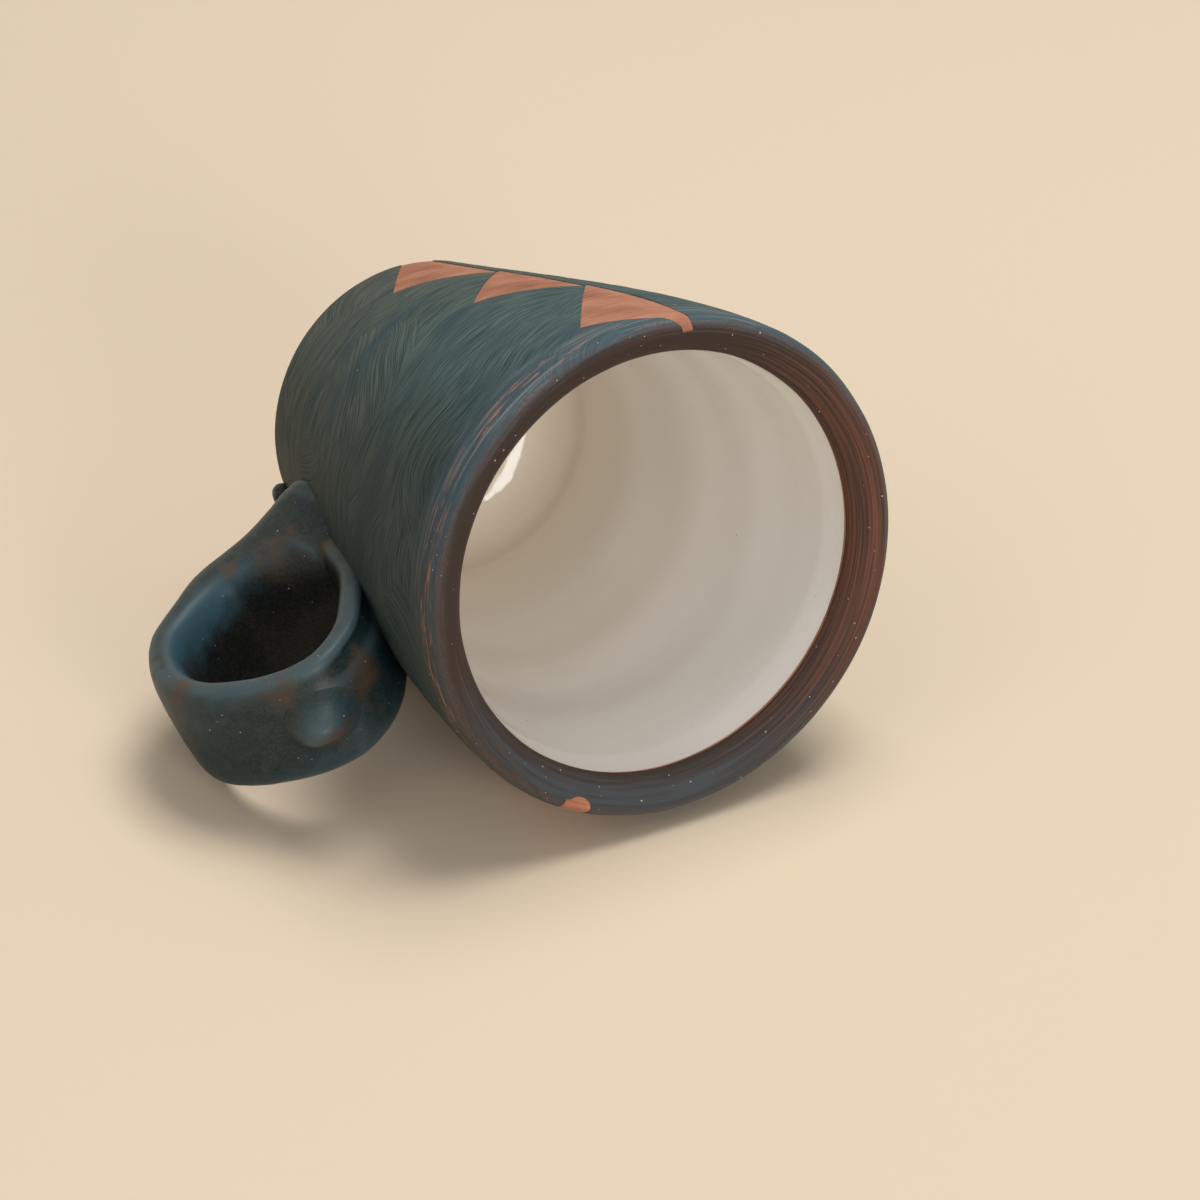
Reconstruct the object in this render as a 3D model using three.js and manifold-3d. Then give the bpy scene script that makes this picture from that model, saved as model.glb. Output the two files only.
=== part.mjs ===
// A hand-thrown espresso mug: a red clay body, a strap handle rolled into a closed finger loop, a thumb
// pellet on the loop's crest, a white glaze lining, and a slip coat with a column of bare triangles.
// Millimetres, +Z up. The origin is the centre of the foot's underside, and the handle points along +X.
import * as THREE from 'three';
import { mergeVertices } from 'three/addons/utils/BufferGeometryUtils.js';
import Module from 'manifold-3d';

const wasm = await Module();
wasm.setup();

// Thrown clay body, without its coats
const clayHeight = 70.9;
const footRadius = 21.1;
const rimRadius = 32.7;
const footFlare = 0.195;
const rimFlare = 0.03;
const footChamfer = 0.8;
const wallThickness = 4.5;
const floorThickness = 6;
const floorCornerRadius = 8;
const lipRound = 1.5;
const lipDrop = 3.2;
const lipFullness = 1.6;

// Coats: slip outside and over the lip, glaze inside, meeting where the lip's round ends
const slipThickness = 0.3;
const glazeThickness = 0.5;
const coatSeam = 0.3;

// Strap handle: one strip that leaves the wall at its root, rolls round a finger and laps back on the root.
// The eye is the finger's opening, seatStrap the strap left on the wall behind it, seatLift how much further
// the lapped end stands off the wall, and turnShare the share of the strap's length where its way out
// becomes its way back
const strapWidth = 15.8;
const strapThickness = 4.8;
const strapSquareness = 3;
const rootHeight = 18.5;
const rootFlareWidth = 5.5;
const rootFlareThickness = 8;
const rootFlareLength = 9;
const rootSquareness = 2;
const eyeWidth = 23;
const eyeHeight = 24.6;
const eyeCentreHeight = 36.3;
const seatStrap = 1.3;
const seatLift = 0.7;
const turnShare = 0.55;
const flareFade = 0.15;

// Hand-worked forms of the strap's way out: a web of clay smeared into the corner by the root, its outer face
// swelling under the finger, and its far side spread wider by the bend
const webReach = 15.5;
const webRise = 28.8;
const webLimit = 10;
const armSwell = { depth: 1.5, share: 0.14, span: 0.08 };
const farSwell = { depth: 2.2, share: 0.28, span: 0.15 };

// Thumb pellet on the crest of the loop, and the dab of clay squeezed out at the foot
const pelletRadius = 3.8;
const pelletHalfHeight = 3.23;
const pelletRise = 0.46;
const pelletShare = 0.628;
const pelletAside = -0.8;
const dabRadius = 1.5;
const dabHalfLength = 2.1;
const dabAzimuth = -5;
const dabHeight = 2.4;

// Bare triangles left in the slip: teeth along an upright spine, repeated on the other side of the handle.
// They were placed by eye, so each has its own shares of the wall's height, and they run off both ends
const spineAzimuths = [-121.5, 36.5];
const toothReach = 12;
const toothCut = 2;
const toothShares = [
  { low: -0.1, tip: 0.188, high: 0.316 },
  { low: 0.282, tip: 0.508, high: 0.635 },
  { low: 0.61, tip: 0.906, high: 1.03 },
];

// Clearances and facet counts
const seatGap = 0.3;
const aroundSteps = 60;
const wallSteps = 9;
const lipSteps = 4;
const innerSteps = 6;
const cornerSteps = 4;
const strapSteps = 46;
const sectionSteps = 20;

// Solids in and out of the boolean library
function toSolid(geometry) {
  const bare = geometry.clone();
  bare.deleteAttribute('normal');
  bare.deleteAttribute('uv');
  const merged = mergeVertices(bare, 1e-5);
  const mesh = new wasm.Mesh({
    numProp: 3,
    vertProperties: new Float32Array(merged.attributes.position.array),
    triVerts: new Uint32Array(merged.index.array),
  });
  return new wasm.Manifold(mesh);
}

function toGeometry(solid) {
  const mesh = solid.getMesh();
  const geometry = new THREE.BufferGeometry();
  geometry.setAttribute('position', new THREE.BufferAttribute(new Float32Array(mesh.vertProperties), 3));
  geometry.setIndex(new THREE.BufferAttribute(new Uint32Array(mesh.triVerts), 1));
  geometry.computeVertexNormals();
  return geometry;
}

// A profile of (radius, height) points turned round the upright axis
function turned(profile) {
  return new THREE.LatheGeometry(profile, aroundSteps).rotateX(Math.PI / 2);
}

// The outer wall rises in one long curve, steep at the foot and upright at the rim
const lipShoulder = clayHeight - lipRound;
const wallCurve = new THREE.CubicBezierCurve(
  new THREE.Vector2(footRadius, 0),
  new THREE.Vector2(footRadius + footFlare * lipShoulder / 2, lipShoulder / 2),
  new THREE.Vector2(rimRadius - rimFlare * lipShoulder / 5, lipShoulder * 4 / 5),
  new THREE.Vector2(rimRadius, lipShoulder),
);

// Outer radius of the clay at a height, found by halving the curve's parameter
function wallRadius(height) {
  let low = 0;
  let high = 1;
  for (let step = 0; step < 30; step += 1) {
    const middle = (low + high) / 2;
    if (wallCurve.getPoint(middle).y < height) low = middle;
    else high = middle;
  }
  return wallCurve.getPoint(low).x;
}

// Point on a unit superellipse at an angle: round at fullness 2, squarer above it, flatter below it
function roundedUnit(angle, fullness) {
  const rounded = (share) => Math.sign(share) * Math.abs(share) ** (2 / fullness);
  return { along: rounded(Math.cos(angle)), across: rounded(Math.sin(angle)) };
}

// Quarter of an ellipse between two angles, leaving out its first point
function quarterArc(centreRadius, centreHeight, radialSemi, uprightSemi, startAngle, endAngle, steps, fullness = 2) {
  const points = [];
  for (let step = 1; step <= steps; step += 1) {
    const angle = THREE.MathUtils.degToRad(startAngle + (endAngle - startAngle) * step / steps);
    const unit = roundedUnit(angle, fullness);
    points.push(new THREE.Vector2(
      centreRadius + radialSemi * unit.along,
      centreHeight + uprightSemi * unit.across,
    ));
  }
  return points;
}

// Clay surface from the foot, up the outside, over the lip and down the inside to the middle of the floor
function claySurface() {
  const outside = [];
  for (let step = 0; step <= wallSteps; step += 1) {
    const height = footChamfer + (lipShoulder - footChamfer) * step / wallSteps;
    outside.push(new THREE.Vector2(wallRadius(height), height));
  }
  const crestRadius = rimRadius - lipRound;
  const innerRim = rimRadius - wallThickness;
  const lipFoot = clayHeight - lipDrop;
  const overLip = [
    ...quarterArc(crestRadius, lipShoulder, lipRound, lipRound, 0, 90, lipSteps),
    ...quarterArc(crestRadius, lipFoot, crestRadius - innerRim, lipDrop, 90, 180, lipSteps, lipFullness),
  ];
  const glazeStart = lipFoot - coatSeam;
  const cornerTop = floorThickness + floorCornerRadius;
  const inside = [];
  for (let step = 0; step <= innerSteps; step += 1) {
    const height = glazeStart + (cornerTop - glazeStart) * step / innerSteps;
    inside.push(new THREE.Vector2(wallRadius(height) - wallThickness, height));
  }
  const cornerCentre = wallRadius(cornerTop) - wallThickness - floorCornerRadius;
  const floor = [
    ...quarterArc(cornerCentre, cornerTop, floorCornerRadius, floorCornerRadius, 0, -90, cornerSteps),
    new THREE.Vector2(0, floorThickness),
  ];
  const slipEnd = outside.length + overLip.length;
  return { points: [...outside, ...overLip, ...inside, ...floor], slipEnd };
}

// Unit normal at each point of the surface, pointing out of the clay
function surfaceNormals(points) {
  return points.map((point, index) => {
    const before = points[Math.max(index - 1, 0)];
    const after = points[Math.min(index + 1, points.length - 1)];
    const along = after.clone().sub(before);
    const normal = new THREE.Vector2(along.y, -along.x).normalize();
    if (index === points.length - 1) normal.set(0, 1);
    return normal;
  });
}

const surface = claySurface();
const normals = surfaceNormals(surface.points);

// A coat of even thickness on the stretch of the clay surface between two of its points
function coatProfile(first, last, thickness) {
  const under = surface.points.slice(first, last);
  const over = under.map((point, index) => point.clone().addScaledVector(normals[first + index], thickness));
  return [...under.reverse(), ...over];
}

// Clay body: wall, lip and floor thrown from one ball of clay
function bodyGeometry() {
  const foot = [new THREE.Vector2(0, 0), new THREE.Vector2(footRadius - footChamfer, 0)];
  return turned([...foot, ...surface.points]);
}

// Everything within the clay wall and a margin round it, for seating pieces on the wall
function wallEnvelope(margin) {
  const points = [new THREE.Vector2(0, -clayHeight)];
  points.push(new THREE.Vector2(footRadius + margin, -clayHeight));
  for (let step = 0; step <= wallSteps; step += 1) {
    const point = surface.points[step];
    points.push(new THREE.Vector2(point.x + margin, point.y));
  }
  points.push(new THREE.Vector2(rimRadius + margin, 2 * clayHeight));
  points.push(new THREE.Vector2(0, 2 * clayHeight));
  return toSolid(turned(points));
}

// Centre line of the strap in the upright plane through the handle: out from the root, under the finger,
// round the far end, over the crest, down against the wall and on to the root again
const eyeCentre = wallRadius(eyeCentreHeight) + seatStrap + eyeWidth / 2;
const loopHalfWidth = (eyeWidth + strapThickness) / 2;
const loopHalfHeight = (eyeHeight + strapThickness) / 2;

function loopPoint(across, up) {
  return new THREE.Vector3(eyeCentre + across * loopHalfWidth, 0, eyeCentreHeight + up * loopHalfHeight);
}

function seatPoint(height) {
  return new THREE.Vector3(wallRadius(height) + seatStrap + seatLift - strapThickness / 2, 0, height);
}

const rootRadius = wallRadius(rootHeight);
const seatTop = eyeCentreHeight + eyeHeight / 8;
const seatFoot = rootHeight + rootFlareThickness / 2;
const strapPath = new THREE.CatmullRomCurve3([
  new THREE.Vector3(rootRadius - wallThickness / 2, 0, rootHeight - strapThickness / 4),
  new THREE.Vector3(rootRadius + rootFlareLength, 0, rootHeight + strapThickness / 4),
  loopPoint(0.08, -1.1),
  loopPoint(0.72, -0.8),
  loopPoint(0.97, -0.15),
  loopPoint(0.86, 0.33),
  loopPoint(0.5, 0.78),
  loopPoint(0, 1),
  loopPoint(-0.43, 0.82),
  loopPoint(-0.74, 0.44),
  seatPoint(seatTop - eyeHeight / 12),
  seatPoint((seatTop + seatFoot) / 2),
  seatPoint(seatFoot),
], false, 'centripetal');

// How much of a swelling is felt at a share of the path
function swelling(swell, share) {
  return swell.depth * Math.exp(-(((share - swell.share) / swell.span) ** 2));
}

// Rounded strap section at a share of the path: flared and softer where it leaves the wall, with the web on
// its inner face there
function strapSection(share, grow) {
  const middle = strapPath.getPointAt(share);
  const tangent = strapPath.getTangentAt(share);
  const outward = new THREE.Vector3(tangent.z, 0, -tangent.x);
  const fromWall = Math.max(middle.x - rootRadius, 0);
  const wayOut = THREE.MathUtils.clamp((turnShare - share) / flareFade, 0, 1);
  const flare = wayOut * Math.exp(-fromWall / rootFlareLength);
  const web = wayOut * Math.min(webRise * Math.max(1 - fromWall / webReach, 0) ** 2, webLimit);
  const halfWidth = (strapWidth + rootFlareWidth * flare) / 2 + grow;
  const halfThickness = (strapThickness + rootFlareThickness * flare) / 2 + grow;
  const squareness = strapSquareness + (rootSquareness - strapSquareness) * flare;
  const ring = [];
  for (let step = 0; step < sectionSteps; step += 1) {
    const unit = roundedUnit(2 * Math.PI * step / sectionSteps, squareness);
    const outerFace = THREE.MathUtils.clamp(2 * unit.along, 0, 1);
    const farSide = THREE.MathUtils.clamp(1.5 * unit.across, 0, 1);
    const rise = halfThickness * unit.along + swelling(armSwell, share) * outerFace + web * Math.min(unit.along, 0);
    const point = middle.clone().addScaledVector(outward, rise);
    point.y += halfWidth * unit.across + swelling(farSwell, share) * farSide;
    ring.push(point);
  }
  return ring;
}

// Solid through the strap's sections between two shares of its path, closed at both ends
function strapStretch(fromShare, toShare, steps, grow) {
  const positions = [];
  const triangles = [];
  for (let step = 0; step <= steps; step += 1) {
    const ring = strapSection(fromShare + (toShare - fromShare) * step / steps, grow);
    for (const point of ring) positions.push(point.x, point.y, point.z);
  }
  for (let step = 0; step < steps; step += 1) {
    for (let side = 0; side < sectionSteps; side += 1) {
      const next = (side + 1) % sectionSteps;
      const a = step * sectionSteps + side;
      const b = step * sectionSteps + next;
      triangles.push(a, b, b + sectionSteps, a, b + sectionSteps, a + sectionSteps);
    }
  }
  const lastRing = steps * sectionSteps;
  for (let side = 1; side < sectionSteps - 1; side += 1) {
    triangles.push(0, side + 1, side);
    triangles.push(lastRing, lastRing + side, lastRing + side + 1);
  }
  const geometry = new THREE.BufferGeometry();
  geometry.setAttribute('position', new THREE.Float32BufferAttribute(positions, 3));
  geometry.setIndex(triangles);
  return toSolid(geometry);
}

// The whole strap, before the wall is cut out of it: the returning stretch laps on the root
function strapSolid(grow) {
  const outSteps = Math.round(strapSteps * turnShare);
  const outgoing = strapStretch(0, turnShare, outSteps, grow);
  const returning = strapStretch(turnShare, 1, strapSteps - outSteps, grow);
  return outgoing.add(returning);
}

function strapGeometry() {
  return toGeometry(strapSolid(0).subtract(wallEnvelope(seatGap)));
}

// Thumb pellet: a pressed ball on the strap's outer face, by the crest of the loop
function pelletGeometry() {
  const middle = strapPath.getPointAt(pelletShare);
  const tangent = strapPath.getTangentAt(pelletShare);
  const outward = new THREE.Vector3(tangent.z, 0, -tangent.x);
  const ball = new THREE.SphereGeometry(pelletRadius, 24, 16);
  ball.rotateX(Math.PI / 2);
  ball.scale(1, 1, pelletHalfHeight / pelletRadius);
  ball.rotateY(Math.atan2(outward.x, outward.z));
  middle.addScaledVector(outward, strapThickness / 2 + pelletRise);
  ball.translate(middle.x, pelletAside, middle.z);
  return toGeometry(toSolid(ball).subtract(strapSolid(seatGap)));
}

// Dab of clay squeezed out below the root, sitting on the coated wall near the foot
function dabGeometry() {
  const ball = new THREE.SphereGeometry(dabRadius, 16, 12);
  ball.rotateX(Math.PI / 2);
  ball.scale(1, dabHalfLength / dabRadius, 1);
  ball.translate(wallRadius(dabHeight) + slipThickness + dabRadius / 2, 0, dabHeight);
  ball.rotateZ(THREE.MathUtils.degToRad(dabAzimuth));
  return toGeometry(toSolid(ball).subtract(wallEnvelope(slipThickness + seatGap)));
}

// White glaze lining: from the glaze line down the inside and over the floor
function glazeGeometry() {
  return turned(coatProfile(surface.slipEnd, surface.points.length, glazeThickness));
}

// Cutter for one tooth: its outline laid on the wall and pushed through the slip
function toothCutter(spineAzimuth, tooth) {
  const foot = Math.max(tooth.low, 0) * clayHeight;
  const head = Math.min(tooth.high, 1) * clayHeight;
  const slope = Math.atan2(wallRadius(head) - wallRadius(foot), head - foot);
  const upWall = (share) => (share * clayHeight - foot) / Math.cos(slope);
  const outline = new THREE.Shape([
    new THREE.Vector2(-toothReach / 2, upWall(tooth.low)),
    new THREE.Vector2(toothReach / 2, upWall(tooth.tip)),
    new THREE.Vector2(-toothReach / 2, upWall(tooth.high)),
  ]);
  const prism = new THREE.ExtrudeGeometry(outline, { depth: 3 * toothCut, bevelEnabled: false, steps: 1 });
  prism.translate(0, 0, -toothCut);
  prism.rotateX(Math.PI / 2 + slope);
  prism.rotateZ(Math.PI / 2);
  prism.translate(wallRadius(foot), 0, foot);
  const halfReach = toothReach / 2 / wallRadius(tooth.tip * clayHeight);
  prism.rotateZ(THREE.MathUtils.degToRad(spineAzimuth) + halfReach);
  return toSolid(prism);
}

// Slip coat: outside from the foot, over the lip to the glaze line, open at the teeth and where the handle
// is luted to the clay
function slipGeometry() {
  const profile = coatProfile(0, surface.slipEnd, slipThickness);
  profile.push(profile[0].clone());
  let coat = toSolid(turned(profile));
  coat = coat.subtract(strapSolid(seatGap));
  for (const spineAzimuth of spineAzimuths) {
    for (const tooth of toothShares) coat = coat.subtract(toothCutter(spineAzimuth, tooth));
  }
  return toGeometry(coat);
}

function piece(name, geometry, color, roughness) {
  const mesh = new THREE.Mesh(geometry, new THREE.MeshStandardMaterial({ color, roughness, metalness: 0 }));
  mesh.name = name;
  return mesh;
}

const mug = new THREE.Group();
mug.add(piece('clay_body', bodyGeometry(), '#a9694f', 0.85));
mug.add(piece('slip_coat', slipGeometry(), '#3d4e50', 0.7));
mug.add(piece('glaze_lining', glazeGeometry(), '#c6beb0', 0.18));
mug.add(piece('handle_strap', strapGeometry(), '#47545a', 0.5));
mug.add(piece('thumb_pellet', pelletGeometry(), '#4b5359', 0.5));
mug.add(piece('root_dab', dabGeometry(), '#3a302b', 0.7));

export default mug;
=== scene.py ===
"""Looks of a hand-thrown espresso mug lying on its side: red clay, brushed slip, white glaze inside.

Sizes are in millimetres in the mug's own frame (+Z up through the mouth, handle along +X), and MM turns
them into Blender's metres. The mug lies down, so the floor is a plane that leans in that frame.
"""
import math
from functools import partial

import bmesh
import bpy
import numpy as np
from mathutils import Matrix, Vector, noise
from mathutils.bvhtree import BVHTree


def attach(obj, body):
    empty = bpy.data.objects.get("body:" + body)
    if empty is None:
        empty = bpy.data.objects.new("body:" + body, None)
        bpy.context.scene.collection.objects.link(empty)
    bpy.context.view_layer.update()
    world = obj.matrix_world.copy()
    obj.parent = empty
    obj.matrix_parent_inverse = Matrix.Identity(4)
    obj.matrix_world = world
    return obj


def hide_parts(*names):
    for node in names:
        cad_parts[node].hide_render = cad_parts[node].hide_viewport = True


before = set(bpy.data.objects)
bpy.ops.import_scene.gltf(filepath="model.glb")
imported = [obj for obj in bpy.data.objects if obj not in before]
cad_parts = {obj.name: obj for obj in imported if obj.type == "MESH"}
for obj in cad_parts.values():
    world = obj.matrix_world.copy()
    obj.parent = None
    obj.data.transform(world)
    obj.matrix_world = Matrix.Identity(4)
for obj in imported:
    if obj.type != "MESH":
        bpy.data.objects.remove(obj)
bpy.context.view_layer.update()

MM = 0.001

# Thrown clay body
CLAY_HEIGHT = 70.9
FOOT_RADIUS = 21.1
RIM_RADIUS = 32.7
FOOT_FLARE = 0.195
RIM_FLARE = 0.03
FOOT_CHAMFER = 0.8
WALL_THICKNESS = 4.5
FLOOR_THICKNESS = 6.0
CORNER_RADIUS = 8.0
LIP_ROUND = 1.5
LIP_DROP = 3.2
LIP_FULLNESS = 1.6
LIP_SHOULDER = CLAY_HEIGHT - LIP_ROUND

# Coats, and the step from the slip's face down to the bare triangles
SLIP_THICKNESS = 0.3
SLIP_STEP = 0.1
GLAZE_THICKNESS = 0.5
GLAZE_LINE = CLAY_HEIGHT - LIP_DROP

# Grog: its grains lie thick on the lip, fewer over a band below the shoulder, and hardly any on the wall
GROG_START = LIP_SHOULDER - 4
GROG_BAND = 5.0
FEWEST_GRAINS = 0.03

# Strap handle
STRAP_WIDTH = 15.8
STRAP_THICKNESS = 4.8
STRAP_SQUARENESS = 3
ROOT_HEIGHT = 18.5
ROOT_FLARE_WIDTH = 5.5
ROOT_FLARE_THICKNESS = 8.0
ROOT_FLARE_LENGTH = 9.0
ROOT_SQUARENESS = 2
WEB_REACH = 15.5
WEB_RISE = 28.8
WEB_LIMIT = 10.0
EYE_WIDTH = 23.0
EYE_HEIGHT = 24.6
EYE_CENTRE_HEIGHT = 36.3
SEAT_STRAP = 1.3
SEAT_LIFT = 0.7
TURN_SHARE = 0.55
FLARE_FADE = 0.15
STRAP_SEAT = 0.15

# Swellings of the strap: how far each stands out, where its middle is, and how far it spreads. The first
# three run along the strap as shares of its length, the last two across it from -1 at the near edge to 1.
ARM_SWELL = (1.8, 0.155, 0.08)
FAR_SWELL = (2.2, 0.28, 0.15)
GROOVE_STRETCH = (1.0, 0.75, 0.1)
EDGE_BEAD = (0.3, -0.97, 0.12)
EDGE_GROOVE = (1.0, -0.7, 0.16)

# Thumb pellet and the dab by the foot
PELLET_RADIUS = 3.8
PELLET_HALF_HEIGHT = 3.23
PELLET_RISE = 0.46
PELLET_SHARE = 0.618
PELLET_ASIDE = -0.6
PELLET_SKIRT = 1.3
PELLET_FALL = 2.6
PELLET_ROUNDNESS = 2.5
PELLET_MELT_AZIMUTH = 25.0
PELLET_MELT_SPREAD = 0.1
PELLET_MELT_WEAR = 0.35
PELLET_CREASE = 0.45
PELLET_TUCK = 0.3
PELLET_LIFT = 0.02
DAB_RADIUS = 1.5
DAB_HALF_LENGTH = 2.1
DAB_AZIMUTH = -5.0
DAB_HEIGHT = 2.4
DAB_SEAT = 0.25

# Places (x, y, z, reach) where fingers rubbed the handle's slip through to brown: by the pellet, right of it,
# at the bend, under the near edge, and three on the arm
RUBBED_SPOTS = (
    (43.9, 1.8, 55.4, 3.2),
    (35.7, -2.0, 51.4, 3.2),
    (54.4, -6.8, 38.0, 2.6),
    (46.8, -5.6, 51.0, 2.6),
    (38.0, -8.2, 21.5, 1.5),
    (27.0, -7.9, 30.2, 1.4),
    (31.7, -8.6, 24.1, 2.6),
)

# Windows of bare clay in the slip: two columns of triangles, each triangle given by the shares of the height
# where it starts, points and ends, and a half-moon on the lip at the end of the second column
SPINE_AZIMUTHS = (-121.5, 36.5)
TOOTH_REACH = 12.0
TOOTH_DEPTH = 1.9
TOOTH_SHARES = ((-0.1, 0.188, 0.316), (0.282, 0.508, 0.635), (0.61, 0.906, 1.015))
MOON_AZIMUTH = 40.0
MOON_REACH = 2.1

# Where the camera and the table are, seen from the mug
CAMERA_PLACE = Vector((145.1, -294.34, 527.17)) * MM
CAMERA_VIEW = Vector((-0.2427, 0.52267, -0.81726))
TABLE_UP = Vector((-0.3538, -0.9218, 0.1587)).normalized()
TABLE_RIGHT = CAMERA_VIEW.cross(TABLE_UP).normalized()
TABLE_AWAY = TABLE_UP.cross(TABLE_RIGHT)
LENS = 135.0
SENSOR = 36.0

# Floor and light
FLOOR_COLOUR = "#e4d0b5"
FLOOR_RADIUS = 360.0
FLOOR_FADE = 240.0
LAMP_AIM = Vector((10, 0, 35)) * MM
LAMP_DISTANCE = 1.2

# Light of the room from straight below the table to straight above it
ROOM_LIGHT = (
    (0.0, (0.03, 0.027, 0.024, 1)),
    (0.5, (0.1, 0.1, 0.1, 1)),
    (1.0, (0.38, 0.39, 0.41, 1)),
)


def linear(code):
    """Linear colour with alpha from an sRGB hex code."""
    shares = [int(code[place:place + 2], 16) / 255 for place in (1, 3, 5)]
    return [s / 12.92 if s <= 0.04045 else ((s + 0.055) / 1.055) ** 2.4 for s in shares] + [1.0]


def per_mm(size):
    """Texture scale at which one feature is this many millimetres."""
    return 1 / (size * MM)


def add_node(tree, kind, inputs=None, stops=None, **settings):
    """Add one node: its settings, its ramp's stops, and its inputs as values or as sockets to link from."""
    node = tree.nodes.new(kind)
    for name, value in settings.items():
        setattr(node, name, value)
    if stops:
        elements = node.color_ramp.elements
        while len(elements) < len(stops):
            elements.new(1.0)
        for element, (position, colour) in zip(elements, stops):
            element.position = position
            element.color = colour
    for key, value in (inputs or {}).items():
        if isinstance(value, bpy.types.NodeSocket):
            tree.links.new(value, node.inputs[key])
        else:
            node.inputs[key].default_value = value
    return node


def new_material(name, **sockets):
    """A material with one shader, whose sockets take the given values."""
    material = bpy.data.materials.new(name)
    material.use_nodes = True
    tree = material.node_tree
    shader = tree.nodes["Principled BSDF"]
    for socket, value in sockets.items():
        shader.inputs[socket.replace("_", " ")].default_value = value
    return material, tree, shader


# Materials

def on_side(add, place, azimuth, start, end, low=0.0, high=1.0, easing="LINEAR"):
    """Share from low to high between two distances in mm, measured from the axis towards an azimuth."""
    towards = (math.cos(math.radians(azimuth)), math.sin(math.radians(azimuth)), 0)
    out = add("ShaderNodeVectorMath", {0: place, 1: towards}, operation="DOT_PRODUCT").outputs["Value"]
    return add("ShaderNodeMapRange", {"Value": out, "From Min": start * MM, "From Max": end * MM,
                                      "To Min": low, "To Max": high}, interpolation_type=easing).outputs[0]


def red_clay():
    """Bisque red clay, turned on the wheel: dull terracotta with fine lines round the pot and dark grit."""
    material, tree, shader = new_material("red_clay_bisque", Roughness=0.88, IOR=1.45)
    add = partial(add_node, tree)
    place = add("ShaderNodeTexCoord").outputs["Object"]
    flat = add("ShaderNodeVectorMath", {0: place, 1: (1, 1, 0)}, operation="MULTIPLY").outputs[0]
    radius = add("ShaderNodeVectorMath", {0: flat}, operation="LENGTH").outputs["Value"]
    height = add("ShaderNodeSeparateXYZ", {0: place}).outputs["Z"]
    run = add("ShaderNodeMath", {0: radius, 1: height}, operation="ADD").outputs[0]
    run_up = add("ShaderNodeMath", {0: run, 1: per_mm(0.2)}, operation="MULTIPLY").outputs[0]
    run_place = add("ShaderNodeCombineXYZ", {2: run_up}).outputs[0]
    line_place = add("ShaderNodeVectorMath", {0: flat, 1: (per_mm(5),) * 3, 2: run_place},
                     operation="MULTIPLY_ADD").outputs[0]
    lines = add("ShaderNodeTexNoise", {"Vector": line_place, "Scale": 1.0, "Detail": 3.0}).outputs["Fac"]
    patches = add("ShaderNodeTexNoise", {"Vector": place, "Scale": per_mm(6), "Detail": 4.0}).outputs["Fac"]
    shade = add("ShaderNodeMath", {0: lines, 1: patches}, operation="ADD").outputs[0]
    light_share = add("ShaderNodeMapRange", {"Value": shade, "From Min": 0.75, "From Max": 1.25}).outputs[0]
    tone = add("ShaderNodeValToRGB", {"Fac": light_share}, stops=(
        (0.0, linear("#905a43")), (0.5, linear("#ae755a")), (1.0, linear("#c0886c")))).outputs["Color"]
    tree.links.new(tone, shader.inputs["Base Color"])
    bump = add("ShaderNodeBump", {"Height": lines, "Distance": 0.05 * MM, "Strength": 0.7})
    tree.links.new(bump.outputs[0], shader.inputs["Normal"])
    return material


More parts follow.
